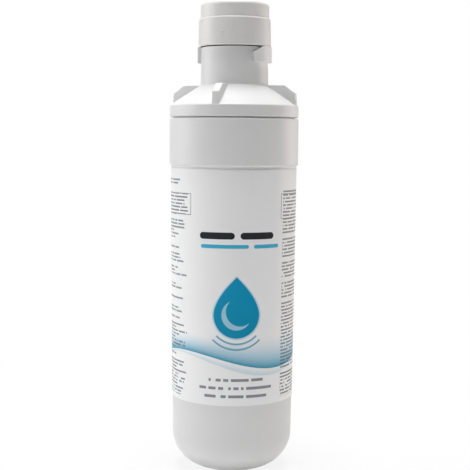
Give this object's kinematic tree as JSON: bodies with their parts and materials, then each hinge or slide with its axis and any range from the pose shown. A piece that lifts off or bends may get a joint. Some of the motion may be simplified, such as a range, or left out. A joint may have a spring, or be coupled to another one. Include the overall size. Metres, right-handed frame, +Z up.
{
  "type": "refrigerator water filter cartridge",
  "caption": "Twist-in refrigerator water filter cartridge: white drafted can with rounded base and wrap label, ribbed cone shoulder, bayonet neck and pull-off cover over a sealed spigot.",
  "frame": {"origin": "middle of the base, on the plane the cartridge stands on", "axes": "+Z up along the cartridge's axis towards the neck, -Y towards the front of the label"},
  "size_m": [0.0666, 0.0666, 0.2403],
  "materials": {
    "white_housing": "satin moulded white",
    "cover_plastic": "satin moulded white",
    "label_film": "printed film with a soft gloss",
    "seal_rubber": "matt black",
    "pressed_carbon": "sintered carbon powder",
    "filter_fleece": "non-woven",
    "cap_plastic": "moulded natural white",
    "hot_melt": "translucent hot-melt adhesive"
  },
  "bodies": {
    "housing": {"lower_housing": "white_housing", "upper_housing": "white_housing", "label": "label_film", "lower_seal_ring": "seal_rubber", "upper_seal_ring": "seal_rubber", "carbon_block": "pressed_carbon", "prefilter_wrap": "filter_fleece", "inner_fleece": "filter_fleece", "top_end_cap": "cap_plastic", "bottom_end_cap": "cap_plastic", "lower_outlet_seal": "seal_rubber", "upper_outlet_seal": "seal_rubber", "top_potting": "hot_melt", "bottom_potting": "hot_melt"},
    "cover": {"protective_cover": "cover_plastic"}
  },
  "joints": [
    {"name": "cover_lift", "type": "slide", "parent": "housing", "child": "cover", "axis": [0, 0, 1], "range_m": [0, 0.03]}
  ]
}
